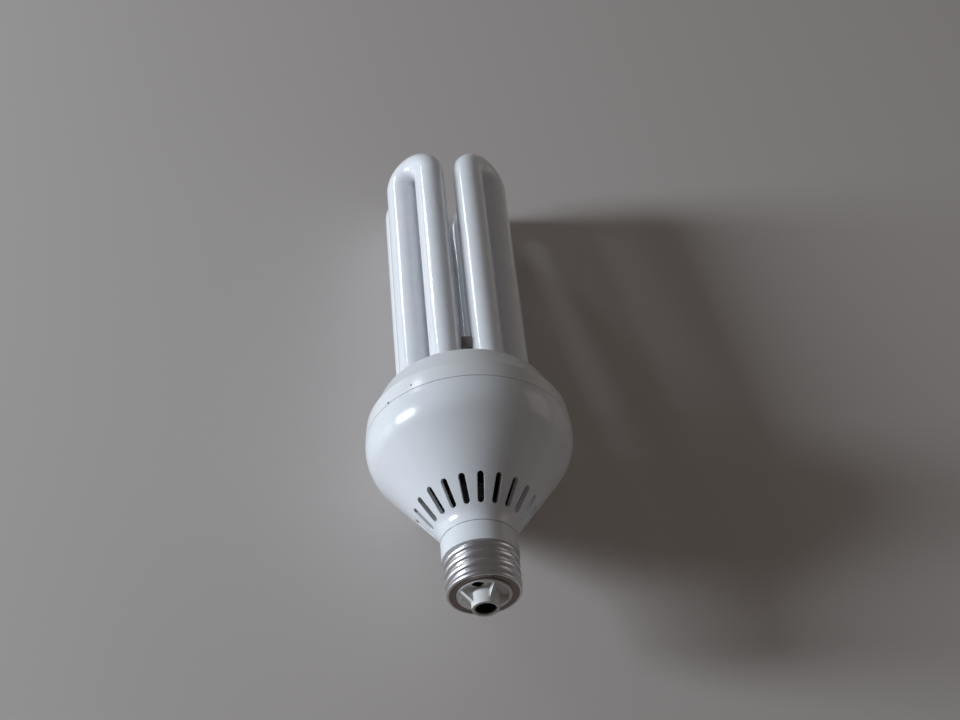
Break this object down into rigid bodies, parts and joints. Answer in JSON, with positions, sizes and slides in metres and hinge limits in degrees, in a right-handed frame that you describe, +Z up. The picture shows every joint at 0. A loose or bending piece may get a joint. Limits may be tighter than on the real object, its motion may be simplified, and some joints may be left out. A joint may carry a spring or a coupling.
{
  "type": "compact fluorescent bulb",
  "caption": "Compact fluorescent bulb: bent white glass tubes on a round vented ballast housing with a metal screw cap, lying on its side.",
  "frame": {"origin": "on the table, under the middle of the bulb's box", "axes": "+Z up from the table, +Y from the screw cap towards the tubes, +X to the right seen from the cap"},
  "size_m": [0.0744, 0.2054, 0.0743],
  "materials": {
    "tube_glass": "glossy glass, white powder coat inside",
    "housing_plastic": "glossy white moulding",
    "cover_plastic": "glossy white moulding, slightly yellowed",
    "cement": "matt adhesive",
    "cap_metal": "bright rolled sheet",
    "insulator_plastic": "satin moulding, dusty",
    "contact_metal": "blackened",
    "board": "satin laminate",
    "can_sleeve": "shrunk sleeve",
    "ferrite": "matt sintered",
    "bobbin_plastic": "matt moulding",
    "copper_wire": "enamelled wire",
    "film_case": "dipped coating",
    "moulding": "matt epoxy",
    "tinned_wire": "tinned"
  },
  "bodies": {
    "root": {"discharge_tube": "tube_glass", "tube_cover": "cover_plastic", "tube_cement": "cement", "ballast_housing": "housing_plastic", "screw_shell": "cap_metal", "cap_insulator": "insulator_plastic", "centre_contact": "contact_metal", "circuit_board": "board", "smoothing_capacitor": "can_sleeve", "choke_core": "ferrite", "choke_bobbin": "bobbin_plastic", "choke_winding": "copper_wire", "resonant_capacitor": "film_case", "blocking_capacitor": "film_case", "drive_toroid": "ferrite", "line_inductor": "can_sleeve", "transistor_1": "moulding", "transistor_2": "moulding", "fuse_resistor": "moulding", "shell_lead": "tinned_wire", "contact_lead": "tinned_wire", "diode_1": "moulding", "electrode_lead_1": "tinned_wire", "diode_2": "moulding", "electrode_lead_2": "tinned_wire", "diode_3": "moulding", "electrode_lead_3": "tinned_wire", "diode_4": "moulding", "electrode_lead_4": "tinned_wire"}
  },
  "joints": []
}
